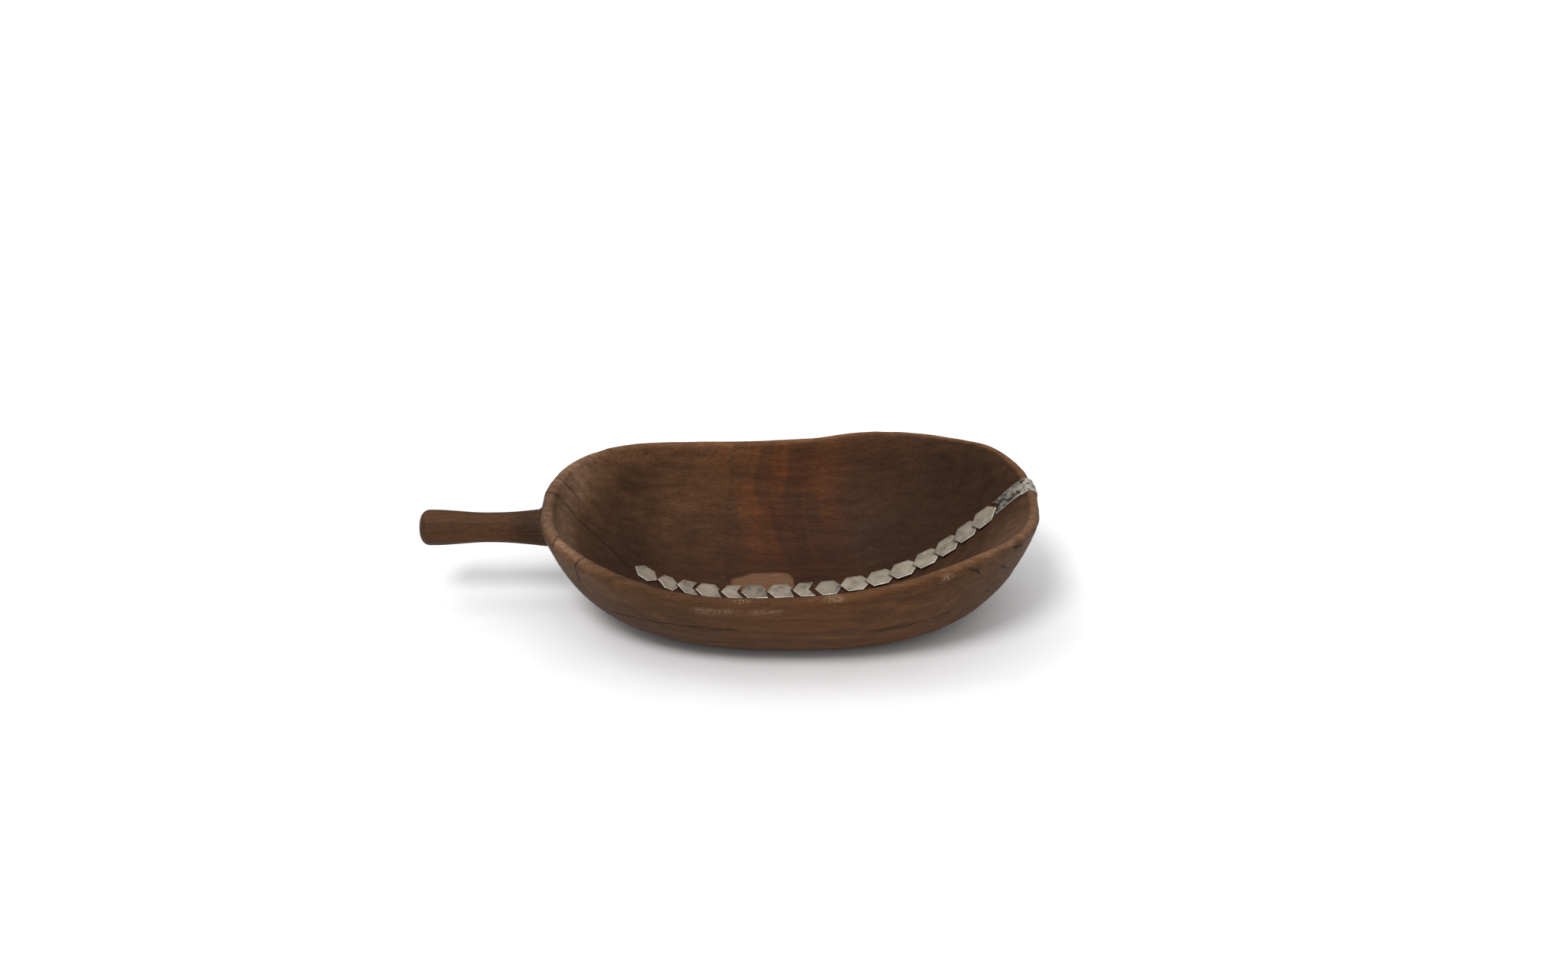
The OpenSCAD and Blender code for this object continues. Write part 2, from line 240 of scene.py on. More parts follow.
def mesh_object(name, points, faces):
    """A new object from points in mm."""
    mesh = bpy.data.meshes.new(name)
    mesh.from_pydata([tuple(p) for p in np.asarray(points) * MM], [], faces)
    mesh.update()
    piece = bpy.data.objects.new(name, mesh)
    bpy.context.collection.objects.link(piece)
    return piece


def tube_faces(rows, count):
    """Quads between rows of count points each, wound round."""
    k = np.arange(count)
    after = (k + 1) % count
    faces = []
    for r in range(rows - 1):
        a, b = r * count + k, r * count + after
        faces += np.stack([a, b, b + count, a + count], -1).tolist()
    return faces


def capped_faces(rows, count):
    """Tube faces and a fan at each end, to the two points that follow the rows."""
    faces, first = tube_faces(rows, count), rows * count
    for k in range(count):
        after = (k + 1) % count
        faces += [[first, after, k], [first - count + k, first - count + after, first + 1]]
    return faces


def closed_volume(points, faces):
    fans = np.array([(f[0], f[i], f[i + 1]) for f in faces for i in range(1, len(f) - 1)])
    a, b, c = np.moveaxis(np.asarray(points)[fans], 1, 0)
    return (a * np.cross(b, c)).sum() / 6


def tool(name, parts):
    """One object from (points, faces) parts, each turned the right way out."""
    points, faces = [], []
    for p, f in parts:
        if closed_volume(p, f) < 0:
            f = [g[::-1] for g in f]
        faces += [[i + len(points) for i in g] for g in f]
        points += list(p)
    return mesh_object(name, points, faces)


def combine(piece, other, operation):
    """One boolean step, with the other object used up."""
    step = piece.modifiers.new("cut", "BOOLEAN")
    step.solver = "MANIFOLD"
    step.operation = operation
    step.object = other
    shown = piece.evaluated_get(bpy.context.evaluated_depsgraph_get())
    mesh = bpy.data.meshes.new_from_object(shown)
    piece.modifiers.clear()
    piece.data = mesh
    bpy.data.objects.remove(other)


def boxes_tool(name, boxes):
    """One object from boxes given as (origin, x way, y way, z way, low, high)."""
    parts = []
    for origin, ex, ey, ez, low, high in boxes:
        points = [origin + ex * x + ey * y + ez * z for z in (low[2], high[2])
                  for x, y in ((low[0], low[1]), (high[0], low[1]),
                               (high[0], high[1]), (low[0], high[1]))]
        parts.append((points, ((0, 3, 2, 1), (4, 5, 6, 7), (0, 1, 5, 4),
                               (1, 2, 6, 5), (2, 3, 7, 6), (3, 0, 4, 7))))
    return tool(name, parts)


def mesh_points(mesh):
    points = np.empty(len(mesh.vertices) * 3)
    mesh.vertices.foreach_get("co", points)
    return points.reshape(-1, 3) / MM


def set_points(mesh, points):
    mesh.vertices.foreach_set("co", (np.asarray(points) * MM).ravel())
    mesh.update()


def set_values(mesh, **layers):
    """One number for each point under each name, for the materials to read."""
    for name, values in layers.items():
        layer = mesh.attributes.new(name, "FLOAT", "POINT")
        layer.data.foreach_set("value", np.asarray(values, float))


def nearest(points, targets):
    """Which target lies nearest to each point, and how far away it is."""
    tree = KDTree(len(targets))
    for i, target in enumerate(targets):
        tree.insert(Vector(target), i)
    tree.balance()
    hits = [tree.find(Vector(p)) for p in points]
    return np.array([h[1] for h in hits]), np.array([h[2] for h in hits])


def finish_piece(piece, material, node, sharp):
    """Gives the piece its material and its part in the frame; sharp in degrees."""
    mesh = piece.data
    mesh.materials.clear()
    mesh.materials.append(material)
    mesh.shade_smooth()
    mesh.set_sharp_from_angle(angle=math.radians(sharp))
    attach(piece, "root")
    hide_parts(node)


# ---- materials
class Nodes:
    """A short way to write the node tree of a material or world."""

    def __init__(self, owner):
        owner.use_nodes = True
        self.owner, self.tree = owner, owner.node_tree

    def put(self, socket, value):
        if isinstance(value, bpy.types.NodeSocket):
            self.tree.links.new(value, socket)
        elif isinstance(value, (tuple, list)) and socket.type == "RGBA" and len(value) == 3:
            socket.default_value = (*value, 1)
        else:
            socket.default_value = value

    def add(self, kind, inputs, output=0, **settings):
        node = self.tree.nodes.new(kind)
        for key, value in settings.items():
            setattr(node, key, value)
        for key, value in inputs.items():
            self.put(node.inputs[key], value)
        return node.outputs[output]

    def math(self, operation, a, b=0.0):
        return self.add("ShaderNodeMath", {0: a, 1: b}, operation=operation)

    def plus(self, a, b):
        return self.math("ADD", a, b)

    def times(self, a, b, *more):
        product = self.math("MULTIPLY", a, b)
        return self.times(product, *more) if more else product

    def total(self, *parts):
        """The sum of (value, weight) pairs."""
        return reduce(self.plus, [self.times(value, weight) for value, weight in parts])

    def vector(self, operation, a, b):
        return self.add("ShaderNodeVectorMath", {0: a, 1: b}, operation=operation)

    def scaled(self, vector, *factors):
        return self.vector("MULTIPLY", vector, factors)

    def split(self, vector):
        node = self.tree.nodes.new("ShaderNodeSeparateXYZ")
        self.put(node.inputs[0], vector)
        return node.outputs

    def noise(self, vector, scale=1.0, detail=3.0, roughness=0.5, distortion=0.0, output=0):
        return self.add("ShaderNodeTexNoise",
                        {"Vector": vector, "Scale": scale, "Detail": detail,
                         "Roughness": roughness, "Distortion": distortion}, output)

    def ramp(self, value, low, high, to_low=0.0, to_high=1.0):
        return self.add("ShaderNodeMapRange",
                        {"Value": value, "From Min": low, "From Max": high,
                         "To Min": to_low, "To Max": to_high}, interpolation_type="SMOOTHSTEP")

    def hump(self, value, middle, width):
        """1 at the middle, falling to 0 at width either side."""
        return self.ramp(self.math("ABSOLUTE", self.plus(value, -middle)), 0, width, 1, 0)

    def mix(self, share, a, b, blend="MIX"):
        node = self.tree.nodes.new("ShaderNodeMix")
        node.data_type = "RGBA"
        node.blend_type = blend
        node.clamp_factor = True
        self.put(node.inputs["Factor"], share)
        self.put([s for s in node.inputs if s.name == "A" and s.type == "RGBA"][0], a)
        self.put([s for s in node.inputs if s.name == "B" and s.type == "RGBA"][0], b)
        return [s for s in node.outputs if s.type == "RGBA"][0]

    def tint(self, colour, *pairs, blend="MULTIPLY"):
        """The colour times each factor in turn, as far as the share before it goes."""
        for share, factor in pairs:
            colour = self.mix(share, colour, factor, blend)
        return colour

    def cover(self, colour, *pairs):
        """The colour under each paint in turn, as far as the share before it goes."""
        return self.tint(colour, *pairs, blend="MIX")

    def colours(self, value, stops):
        node = self.tree.nodes.new("ShaderNodeValToRGB")
        band = node.color_ramp
        while len(band.elements) < len(stops):
            band.elements.new(0.5)
        for element, (place, colour) in zip(band.elements, stops):
            element.position = place
            element.color = (*colour, 1)
        self.put(node.inputs[0], value)
        return node.outputs[0]

    def value(self, name):
        return self.add("ShaderNodeAttribute", {}, "Fac", attribute_name=name)

    def place(self):
        """Object coordinates in millimetres."""
        where = self.add("ShaderNodeTexCoord", {}, "Object")
        return self.add("ShaderNodeVectorMath", {0: where, "Scale": 1 / MM}, operation="SCALE")

    def bump(self, height, depth_mm, strength=1.0, under=None):
        inputs = {"Height": height, "Distance": depth_mm * MM, "Strength": strength}
        if under is not None:
            inputs["Normal"] = under
        return self.add("ShaderNodeBump", inputs)

    def shade(self, colour, rough, normal, **constants):
        """Wires up the material's shader; constants are its inputs that stay numbers."""
        sockets = self.tree.nodes["Principled BSDF"].inputs
        self.put(sockets["Base Color"], colour)
        self.put(sockets["Roughness"], rough)
        if normal is not None:
            self.put(sockets["Normal"], normal)
        for key, value in constants.items():
            sockets[key.replace("_", " ")].default_value = value
        return self.owner


WOOD_STOPS = ((0.33, (0.028, 0.0112, 0.0042)), (0.44, (0.053, 0.0228, 0.0088)),
              (0.54, (0.079, 0.0350, 0.0140)), (0.67, (0.128, 0.0610, 0.0265)))
PLATE_STOPS = ((0.30, (0.32, 0.272, 0.206)), (0.48, (0.45, 0.390, 0.302)),
               (0.66, (0.56, 0.490, 0.390)))
STRAP_STOPS = ((0.30, (0.32, 0.285, 0.235)), (0.52, (0.50, 0.455, 0.385)),
               (0.75, (0.66, 0.610, 0.525)))


def wood_patterns(n, place):
    """Noises drawn out along the grain, which runs along x and drifts a little."""
    drift = n.vector("SUBTRACT", n.noise(place, 0.011, 2, output=1), (0.5, 0.5, 0.5))
    bent = n.vector("ADD", place, n.scaled(drift, 60, 14, 14))
    fine_pores = n.noise(n.scaled(place, 0.22, 3.4, 3.4), 1, 1, 0.5)
    dark_flecks = n.noise(n.scaled(bent, 0.09, 1.5, 1.5), 1, 2, 0.5)
    bright_flecks = n.noise(n.scaled(place, 0.12, 2.2, 2.2), 1, 2, 0.5)
    return SimpleNamespace(
        streaks=n.noise(n.scaled(bent, 0.010, 0.16, 0.16), 1, 5, 0.62),
        lines=n.noise(n.scaled(bent, 0.030, 0.95, 0.95), 1, 4, 0.6),
        fibres=n.noise(n.scaled(place, 0.16, 2.6, 2.6), 1, 3, 0.6),
        bands=n.noise(n.scaled(bent, 0.040, 0.004, 0.005), 1, 3, 0.6),
        pores=n.ramp(fine_pores, 0.60, 0.72),
        flecks=n.ramp(dark_flecks, 0.64, 0.74),
        bright=n.ramp(bright_flecks, 0.62, 0.74, 0, 0.30),
        mottle=n.noise(place, 0.028, 4, 0.55),
        specks=n.noise(place, 1.3, 3, 0.6),
        dust=n.ramp(n.noise(place, 0.9, 4, 0.7), 0.66, 0.74))


def tint_hollow(n, colour, grain, place, hollow):
    """The hollow: a reddish middle, amber cross-bands, painted shade low down, far off and under
    the lip at the handle end, and painted light on the back wall toward the handle end.
    """
    x, y, z = n.split(place)
    red = n.times(n.hump(x, 5, 105), n.ramp(grain.mottle, 0.35, 0.62), hollow, 0.75)
    amber = n.times(n.hump(x, -6, 62), n.ramp(grain.bands, 0.40, 0.60), n.ramp(y, 15, 62),
                    hollow, 0.95)
    between = n.times(n.ramp(grain.bands, 0.58, 0.36), hollow, 0.55)
    # Painted shade on the far back wall of the hollow
    far_back_shade = n.times(n.ramp(x, 15, 132), n.ramp(y, -30, 30), hollow)
    # Painted light on the back wall of the hollow toward the handle end
    near_back_light = n.times(n.ramp(x, 0, -70), n.ramp(y, 0, 60), hollow)
    # Painted shade on the inner wall just under the lip at the handle end
    below_lip_shade = n.times(n.hump(x, -114, 32), n.ramp(z, 76, 58), hollow)
    return n.tint(colour, (red, (1.03, 0.75, 0.66)), (amber, (1.52, 1.30, 0.92)),
                  (between, (0.80, 0.76, 0.74)), (n.times(hollow, 0.6), (0.74, 0.72, 0.72)),
                  (far_back_shade, (0.50, 0.45, 0.38)),
                  # Painted shade, darker towards the bottom of the hollow
                  (n.times(n.ramp(z, 50, 10), hollow), (0.63, 0.61, 0.60)),
                  (near_back_light, (1.38, 1.40, 1.45)), (below_lip_shade, (0.62, 0.61, 0.60)))


def tint_outside(n, colour, place, hollow):
    """The grip, darker toward its root with painted shade, the greyer wood at both ends, and the
    warm long sides.
    """
    x, y, _ = n.split(place)
    # The grip's own darker tone, growing toward the root with painted shade
    grip_tone_and_root_shade = n.times(n.ramp(x, -150, -172), n.ramp(x, -252, -180, 0.55, 1))
    # The fibres end in the surface where its normal points along x
    facing = n.split(n.add("ShaderNodeNewGeometry", {}, "Normal"))[0]
    end_grain = n.ramp(n.math("ABSOLUTE", facing), 0.35, 0.85)
    far_end = n.times(n.ramp(x, 75, 150), n.ramp(y, 45, -10))
    ends = n.times(n.math("MAXIMUM", far_end, n.ramp(x, -95, -150)), n.ramp(x, -186, -172))
    grey = n.math("MAXIMUM", n.times(end_grain, 0.65), n.times(ends, 0.75))
    sides = n.times(n.math("SUBTRACT", 1.0, hollow), n.hump(x, 45, 150))
    # A band of painted shade where the grip meets the wall
    return n.tint(colour, (grip_tone_and_root_shade, (0.82, 0.80, 0.78)), (n.hump(x, -180, 26), (0.60, 0.58, 0.56)),
                  (n.ramp(x, -249, -255), (0.60, 0.62, 0.68)), (grey, (0.98, 1.10, 1.28)),
                  (sides, (1.32, 1.22, 1.08)))


def wear_wood(n, colour, grain, place):
    """Pores and flecks, painted shade on the front crest, then what use has left: shine, scuffs, a
    patch, dust and cracks.
    """
    _, y, z = n.split(place)
    # Painted shade on the front crest, toning down the light it catches from above
    crest_shade = n.times(n.ramp(y, -78, -96), n.ramp(z, 58, 65, 0, 0.9))
    blotches = n.ramp(n.noise(place, 0.22, 4, 0.65), 0.30, 0.62, 0.35, 1)
    pale = n.times(n.value("pale"), n.ramp(grain.mottle, 0.25, 0.60, 0.6, 1))
    colour = n.tint(colour, (n.times(grain.pores, 0.72), (0.36, 0.30, 0.26)),
                    (n.times(grain.flecks, 0.6), (0.50, 0.42, 0.38)),
                    (grain.bright, (1.75, 1.70, 1.60)), (crest_shade, (0.74, 0.72, 0.68)),
                    (n.times(n.value("wear"), blotches), (1.85, 1.90, 2.02)),
                    (pale, (1.55, 1.76, 2.15)))
    fresh = n.mix(n.ramp(grain.lines, 0.35, 0.65), (0.105, 0.052, 0.026), (0.155, 0.082, 0.043))
    scuff = n.times(n.value("scuff"), n.ramp(grain.specks, 0.50, 0.60))
    return n.cover(colour, (n.times(n.value("patch"), 0.88), fresh),
                   (scuff, (0.27, 0.18, 0.115)), (n.times(grain.dust, 0.30), (0.17, 0.11, 0.07)),
                   (n.times(n.value("crack"), 0.90), (0.012, 0.007, 0.005)))


def wood_material():
    n = Nodes(bpy.data.materials.new("carved_wood"))
    place = n.place()
    grain = wood_patterns(n, place)
    hollow = n.value("hollow")
    tone = n.total((grain.streaks, 0.38), (grain.lines, 0.30), (grain.fibres, 0.22),
                   (grain.mottle, 0.10))
    colour = n.colours(tone, WOOD_STOPS)
    colour = tint_hollow(n, colour, grain, place, hollow)
    colour = tint_outside(n, colour, place, hollow)
    colour = wear_wood(n, colour, grain, place)
    rough = n.total((grain.lines, 0.16), (grain.mottle, 0.14), (n.value("wear"), -0.06))
    height = n.total((grain.fibres, 0.5), (grain.pores, -0.6), (grain.lines, 0.7))
    normal = n.bump(grain.specks, 0.10, 0.5, n.bump(height, 0.16, 0.8))
    return n.shade(colour, n.plus(rough, 0.50), normal, Specular_IOR_Level=0.12)


def plate_material():
    n = Nodes(bpy.data.materials.new("plate_silver"))
    place = n.place()
    edge = n.value("edge")
    brush = n.noise(n.scaled(place, 0.35, 3.6, 3.6), 1, 4, 0.65)
    smudge = n.noise(place, 0.13, 3, 0.55, 0.2)
    fine = n.noise(place, 1.6, 4, 0.7)
    dirt = n.noise(place, 0.42, 5, 0.7, 0.4)
    spots = n.plus(n.ramp(dirt, 0.55, 0.70, 0, 0.35),
                   n.times(n.value("tarnish"), n.ramp(smudge, 0.36, 0.66, 0.12, 0.85)))
    # Grime mixed with painted shade: along the outline, low on the sides and round the next plate's
    # tip
    grime_and_shade = n.times(n.value("grime_and_shade"), n.ramp(fine, 0.35, 0.60, 0.45, 0.9))
    # Painted highlight along the lit side of the plate's bevel
    edge_highlight = n.times(edge, n.ramp(dirt, 0.30, 0.50, 0.35, 0.9))
    colour = n.cover(n.colours(smudge, PLATE_STOPS),
                     (n.ramp(brush, 0.34, 0.66, 0.34, 0), (0.22, 0.190, 0.150)),
                     (n.ramp(brush, 0.50, 0.70, 0, 0.30), (0.64, 0.585, 0.485)),
                     (spots, (0.11, 0.090, 0.072)), (grime_and_shade, (0.13, 0.105, 0.080)),
                     (edge_highlight, (0.93, 0.88, 0.79)))
    rough = n.total((smudge, 0.30), (spots, 0.20), (edge, -0.08))
    normal = n.bump(n.total((brush, 0.6), (fine, 0.5)), 0.05, 0.7)
    return n.shade(colour, n.plus(rough, 0.30), normal, Metallic=0.88)


def strap_material():
    n = Nodes(bpy.data.materials.new("strap_silver"))
    place = n.place()
    blotch = n.noise(place, 0.20, 4, 0.62, 0.5)
    fine = n.noise(place, 1.1, 5, 0.7)
    brush = n.noise(n.scaled(place, 0.5, 2.8, 1.2), 1, 4, 0.65)
    dark = n.plus(n.ramp(blotch, 0.52, 0.62, 0, 0.45),
                  n.times(n.value("inner"), n.ramp(blotch, 0.38, 0.56, 0.18, 0.75)))
    dark = n.math("MINIMUM", n.plus(dark, n.times(n.value("pit"), 0.9)), 0.95)
    colour = n.cover(n.colours(fine, STRAP_STOPS),
                     (n.ramp(brush, 0.36, 0.62, 0.45, 0), (0.22, 0.20, 0.175)),
                     (dark, (0.036, 0.031, 0.028)),
                     (n.times(n.value("edge"), 0.5), (0.74, 0.71, 0.65)))
    rough = n.total((dark, 0.25), (fine, 0.25))
    normal = n.bump(n.total((fine, 0.7), (dark, -0.8)), 0.14, 0.8)
    return n.shade(colour, n.plus(rough, 0.26), normal, Metallic=0.85)


def floor_material():
    n = Nodes(bpy.data.materials.new("pale_floor"))
    cloud = n.ramp(n.noise(n.place(), 0.02, 2), 0.3, 0.7)
    colour = n.mix(cloud, (0.80, 0.80, 0.80), (0.815, 0.815, 0.815))
    return n.shade(colour, 0.9, None, Specular_IOR_Level=0.1)


# ---- plate frames
LIES_ON_GAP = 0.03
SEAT_SHARE = 0.9


def on_hollow(x):
    return np.array([x, float(crack_y(x)), float(inner_height(x, crack_y(x))) + SEAT_GAP])


def plate_width(i):
    return PLATE_WIDTH + PLATE_WIDEN * i


def plate_frame(i, before):
    """Origin and axes of plate i, from the frame of the plate before it."""
    tip_x = CHAIN_START + sum(STEPS[:i])
    length, half = LENGTHS[i], plate_width(i) / 2
    if i == 0 or ENDS[i - 1] != 0:
        a = on_hollow(tip_x)
    else:
        o, d, _, n = before
        a = o + d * (tip_x - o[0]) / d[0] + n * (PLATE_METAL + LIES_ON_GAP)
    run = SEAT_SHARE * length
    rise = on_hollow(a[0] + run)[2] - a[2]
    far = on_hollow(a[0] + run * length / math.hypot(run, rise))
    d = unit(far - a)
    flat = unit(np.cross([0, 0, 1], d))
    c = a + d * length / 2
    sides = [float(inner_height(c[0] + s * flat[0] * half, c[1] + s * flat[1] * half))
             for s in (1, -1)]
    n = unit(np.cross(d, flat + np.array([0, 0, (sides[0] - sides[1]) / (2 * half)])))
    e = np.cross(n, d)
    reach = length - (PLATE_POINT if ENDS[i] == 0 else 0)
    corners = [a + d * x + e * y for x in (PLATE_POINT, reach) for y in (-half, half)]
    lift = max(float(inner_height(p[0], p[1])) + SEAT_GAP - p[2] for p in corners)
    return a + np.array([0, 0, max(0, lift)]), d, e, n


frames = []
for index in range(len(ENDS)):
    frames.append(plate_frame(index, frames[-1] if frames else None))


def fixing(i, grow):
    """The tang below plate i and the bar folded across the crack outside, as boxes.
    A grow above 0 makes the slots for them, with the bar's slot open outwards."""
    o, d, e, n = frames[i]
    seat = o + d * 0.45 * LENGTHS[i]

    def inside(depth):
        q = seat - n * float(depth)
        return q[2] > outer_height(q[0], q[1])

    depth = float(bisect(inside, np.array(2.0), np.array(45.0), 16))
    q = seat - n * depth
    low, step = float(outer_height(q[0], q[1])), 0.5
    out = unit([float(outer_height(q[0] + step, q[1])) - low,
                float(outer_height(q[0], q[1] + step)) - low, -step])
    y = unit(e - out * np.dot(e, out))
    above_bar, into_plate, past_wall = 0.7, 0.5, 4 if grow > 0 else 0
    tang = (seat, d, e, n,
            (-TANG_WIDTH / 2 - grow, -TANG_METAL / 2 - grow, above_bar - depth),
            (TANG_WIDTH / 2 + grow, TANG_METAL / 2 + grow, into_plate))
    bar = (q, np.cross(y, out), y, out,
           (-BAR_WIDTH / 2 - grow, -BAR_LENGTH / 2 - grow, -BAR_METAL - BAR_SINK - grow),
           (BAR_WIDTH / 2 + grow, BAR_LENGTH / 2 + grow, -BAR_SINK + past_wall))
    return tang, bar


def rim_way(y):
    """The angle round the rim at which the far end of the rim has this y."""
    return bisect(lambda m: rim_y(m) < y, 0 * y - 20.0, 0 * y + 40.0)


def strap_tang(grow):
    """The flat tang through the wall that ties the strap's arms, as a box."""
    a = rim_way(np.array(STRAP_OFFSET))
    out = outer_point(a, outer_share(STRAP_TANG / rim_z(a)))
    into = inner_point(a, 0.925)
    reach = float(np.hypot(*(out - into)[:2]))
    way = lip_way(a)
    return (np.array([out[0], out[1], STRAP_TANG]), way, np.cross([0, 0, 1], way),
            np.array([0, 0, 1.0]), (-reach - 1 - 3 * grow, -4 - grow, -0.6 - grow),
            (0.4 + 9 * grow, 4 + grow, 0.6 + grow))


# ---- the bowl
AROUND, FOOT_ROWS, OUTER_ROWS, LIP_ROWS, INNER_ROWS = 476, 6, 70, 20, 84
FOOT, OUTSIDE, LIP, HOLLOW = 0, 1, 2, 3
FOOT_DISH = 0.7
# The flake lost from the outside at the far end: middle, half sizes, depth and way, in mm
FLAKE = ((160, -36, 59), (17, 9.5), 2.6, (-13, -10, -22))
DENTS = 26


def bowl_grid():
    """Rows of points from the middle of the rest face, up the outside, over the lip and
    down the hollow, with what kind of row each is and how far along it the row lies."""
    a = np.arange(AROUND) * 360.0 / AROUND
    rows = []
    for s in np.arange(1, FOOT_ROWS + 1) / FOOT_ROWS:
        p = outer_point(a, 0 * a) * s
        p[:, 2] = FOOT_DISH * (1 - smooth(0.35, 0.97, s))
        rows.append((p, FOOT, s))
    for s in np.arange(1, OUTER_ROWS + 1) / OUTER_ROWS:
        rows.append((outer_point(a, outer_limit(a) * s), OUTSIDE, s))
    for s in np.arange(1, LIP_ROWS + 1) / LIP_ROWS:
        rows.append((lip_point(a, LIP_TURN * s + 0 * a), LIP, s))
    for s in 1 - np.arange(1, INNER_ROWS) / INNER_ROWS:
        rows.append((inner_point(a, s + 0 * a), HOLLOW, s))
    points, kinds, shares = zip(*rows)
    return np.array(points), np.array(kinds), np.array(shares)


def row_normals(rows):
    """Outward normals of the grid of points."""
    along = np.gradient(rows, axis=0)
    round_ = np.roll(rows, -1, axis=1) - np.roll(rows, 1, axis=1)
    return unit(np.cross(round_, along))


def chip(points, middle, size, depth, way):
    """How far a shallow flake has come off: flat inside, steep at its edge."""
    off = points - np.asarray(middle, float)
    along = off @ unit(way)
    across = np.linalg.norm(off - along[..., None] * unit(way), axis=-1)
    r = np.sqrt((along / size[0]) ** 2 + (across / size[1]) ** 2)
    return depth * (1 - smooth(0.84, 1.0, r))


def carved(rows, kinds):
    """The grid with knife marks and chips, which only ever go into the wood."""
    normals = row_normals(rows)
    broad, stroke, fine = Ripple(34), Ripple(11, (2.6, 1, 1)), Ripple(4, (2, 1, 1))
    depth = 0.20 * (1 + broad(rows)) + 0.11 * (1 + stroke(rows)) + 0.035 * (1 + fine(rows))
    x, y, z = np.moveaxis(rows, -1, 0)
    kind = kinds[:, None] + 0 * x
    # Little is carved away where the plates sit, on the foot, or just above it
    from_crack = smooth(9, 20, np.abs(y - crack_y(x)))
    depth = np.where((kind == HOLLOW) & (z < 70), depth * (0.15 + 0.85 * from_crack), depth)
    depth = np.where(kind == FOOT, 0.10 * depth, depth)
    depth = np.where(kind == OUTSIDE, depth * smooth(0, 9, z), depth)
    depth = depth + np.where(kind == OUTSIDE, chip(rows, *FLAKE), 0)
    for _ in range(DENTS):
        way = rng.uniform(0, 360)
        spot = lip_point(np.array(way), rng.uniform(10, 120))
        size = rng.uniform(1.6, 4.5)
        dent = chip(rows, spot, (size * 1.6, size), rng.uniform(0.10, 0.30),
                    (-sind(way), cosd(way), 0.1))
        depth = depth + dent * (kind > FOOT)
    return rows - normals * depth[..., None]


def grip(x):
    """The handle's diameter at x mm from its end."""
    return (HANDLE_END + (HANDLE_WAIST - HANDLE_END) * smooth(10, 0.5 * HANDLE_LENGTH, x)
            + (HANDLE_ROOT - HANDLE_WAIST) * smooth(0.55 * HANDLE_LENGTH, HANDLE_LENGTH, x))


def handle_object():
    """The grip, flared where it runs into the wall."""
    count, station, fillet = 96, 1.1, 3.4
    even, root, into_wall = 78, 16.5, 3.2
    rounded = HANDLE_ROUND * (1 - np.cos(np.linspace(0.03, 1, 22) * math.pi / 2))
    x = np.concatenate([rounded, np.arange(HANDLE_ROUND + station, 104, station)])
    phi = np.arange(count) * 2 * math.pi / count
    side, up = np.cos(phi), np.sin(phi)
    # The last stations follow the wall, so the grip ends inside it all the way round
    wall = near_wall_x(root * side, HANDLE_HEIGHT + root * up) + HANDLE_REACH
    late = np.clip((x - even) / (x[-1] - even), 0, 1)[:, None]
    x = np.where(late > 0, even + late * (wall + into_wall - even), x[:, None] + 0 * phi)
    tip = np.where(x < HANDLE_ROUND,
                   (1 - np.abs(1 - np.minimum(x / HANDLE_ROUND, 1)) ** 2.4) ** (1 / 2.4), 1)
    radius = grip(x) / 2 * tip
    shape = Ripple(26, (2, 1, 1))
    marks = Ripple(8, (2.5, 1, 1))
    # The flare is found from the distance to the wall, twice over
    for _ in range(2):
        gap = near_wall_x(radius * side, HANDLE_HEIGHT + radius * up) - (x - HANDLE_REACH)
        reach = np.clip(fillet - gap, 0, fillet)
        flare = fillet - np.sqrt(np.maximum(fillet ** 2 - reach ** 2, 0))
        radius = grip(x) / 2 * tip + flare
    rows = np.stack([x - HANDLE_REACH, radius * side, HANDLE_HEIGHT + radius * up], -1)
    worn = (0.16 * (1 + shape(rows)) + 0.06 * (1 + marks(rows))) * smooth(0, 6, x)
    worn = worn * (1 - smooth(78, 88, x))
    rows[..., 1] -= worn * side
    rows[..., 2] -= worn * up
    faces = [f[::-1] for f in tube_faces(len(x), count)]
    faces.append(list(range(count)))
    faces.append(list(range((len(x) - 1) * count, len(x) * count))[::-1])
    return mesh_object("handle_tool", rows.reshape(-1, 3), faces)


# Cracks as paths on the surface: points in mm, then width and depth in mm
CRACKS = (
    (((-163, 20, 58), (-168, 19, 69), (-170, 16, 77), (-165, 13.5, 79.5), (-158.5, 14.6, 74),
      (-154, 13, 68), (-147.5, 9.6, 60), (-136, 7.7, 48), (-124, 4.6, 38), (-118, -1.6, 33),
      (-109.5, -1.0, 27)), 0.50, 3.2),
    (((-160, 36, 62), (-165, 35.5, 74), (-162, 30, 79.5), (-154.4, 27.4, 73.5),
      (-149.3, 27.3, 67.3), (-146, 25, 63)), 0.34, 2.4),
    (((-159, -50, 68), (-160.8, -49.6, 76), (-157.1, -42.5, 79), (-152, -41, 78),
      (-148, -42.5, 74.5)), 0.34, 2.2),
    (((-141, -63, 55), (-143.5, -68, 62), (-145, -70, 71), (-140.9, -69, 76.2),
      (-137.6, -65.3, 75.3)), 0.38, 2.4),
    (((150.5, -66.8, 83.6), (154.5, -63, 82.5), (157.5, -58, 79.5)), 0.6, 1.8),
    (((163.5, -38, 70), (166, -31, 70.5), (167, -24, 70)), 2.2, 3.0),
    (((121.3, -87.5, 80), (125, -86.5, 76.5), (128.5, -84.0, 72)), 0.5, 1.6),
    (((142, -71, 72), (145, -67.5, 68), (147, -64.5, 65)), 0.5, 1.5),
    (((134, -68, 50), (137, -65, 46)), 0.45, 1.2),
    (((-134, -58, 34), (-118, -70, 35), (-100, -82, 36.5), (-81, -90.5, 38),
      (-58, -95, 38.5), (-36, -97, 38)), 0.34, 1.4),
    (((-104, -68, 19), (-80, -78, 21), (-52, -84, 22), (-20, -87, 22.5)), 0.28, 1.2),
    (((52, -92, 34), (80, -86, 37), (108, -76, 42)), 0.28, 1.2),
)


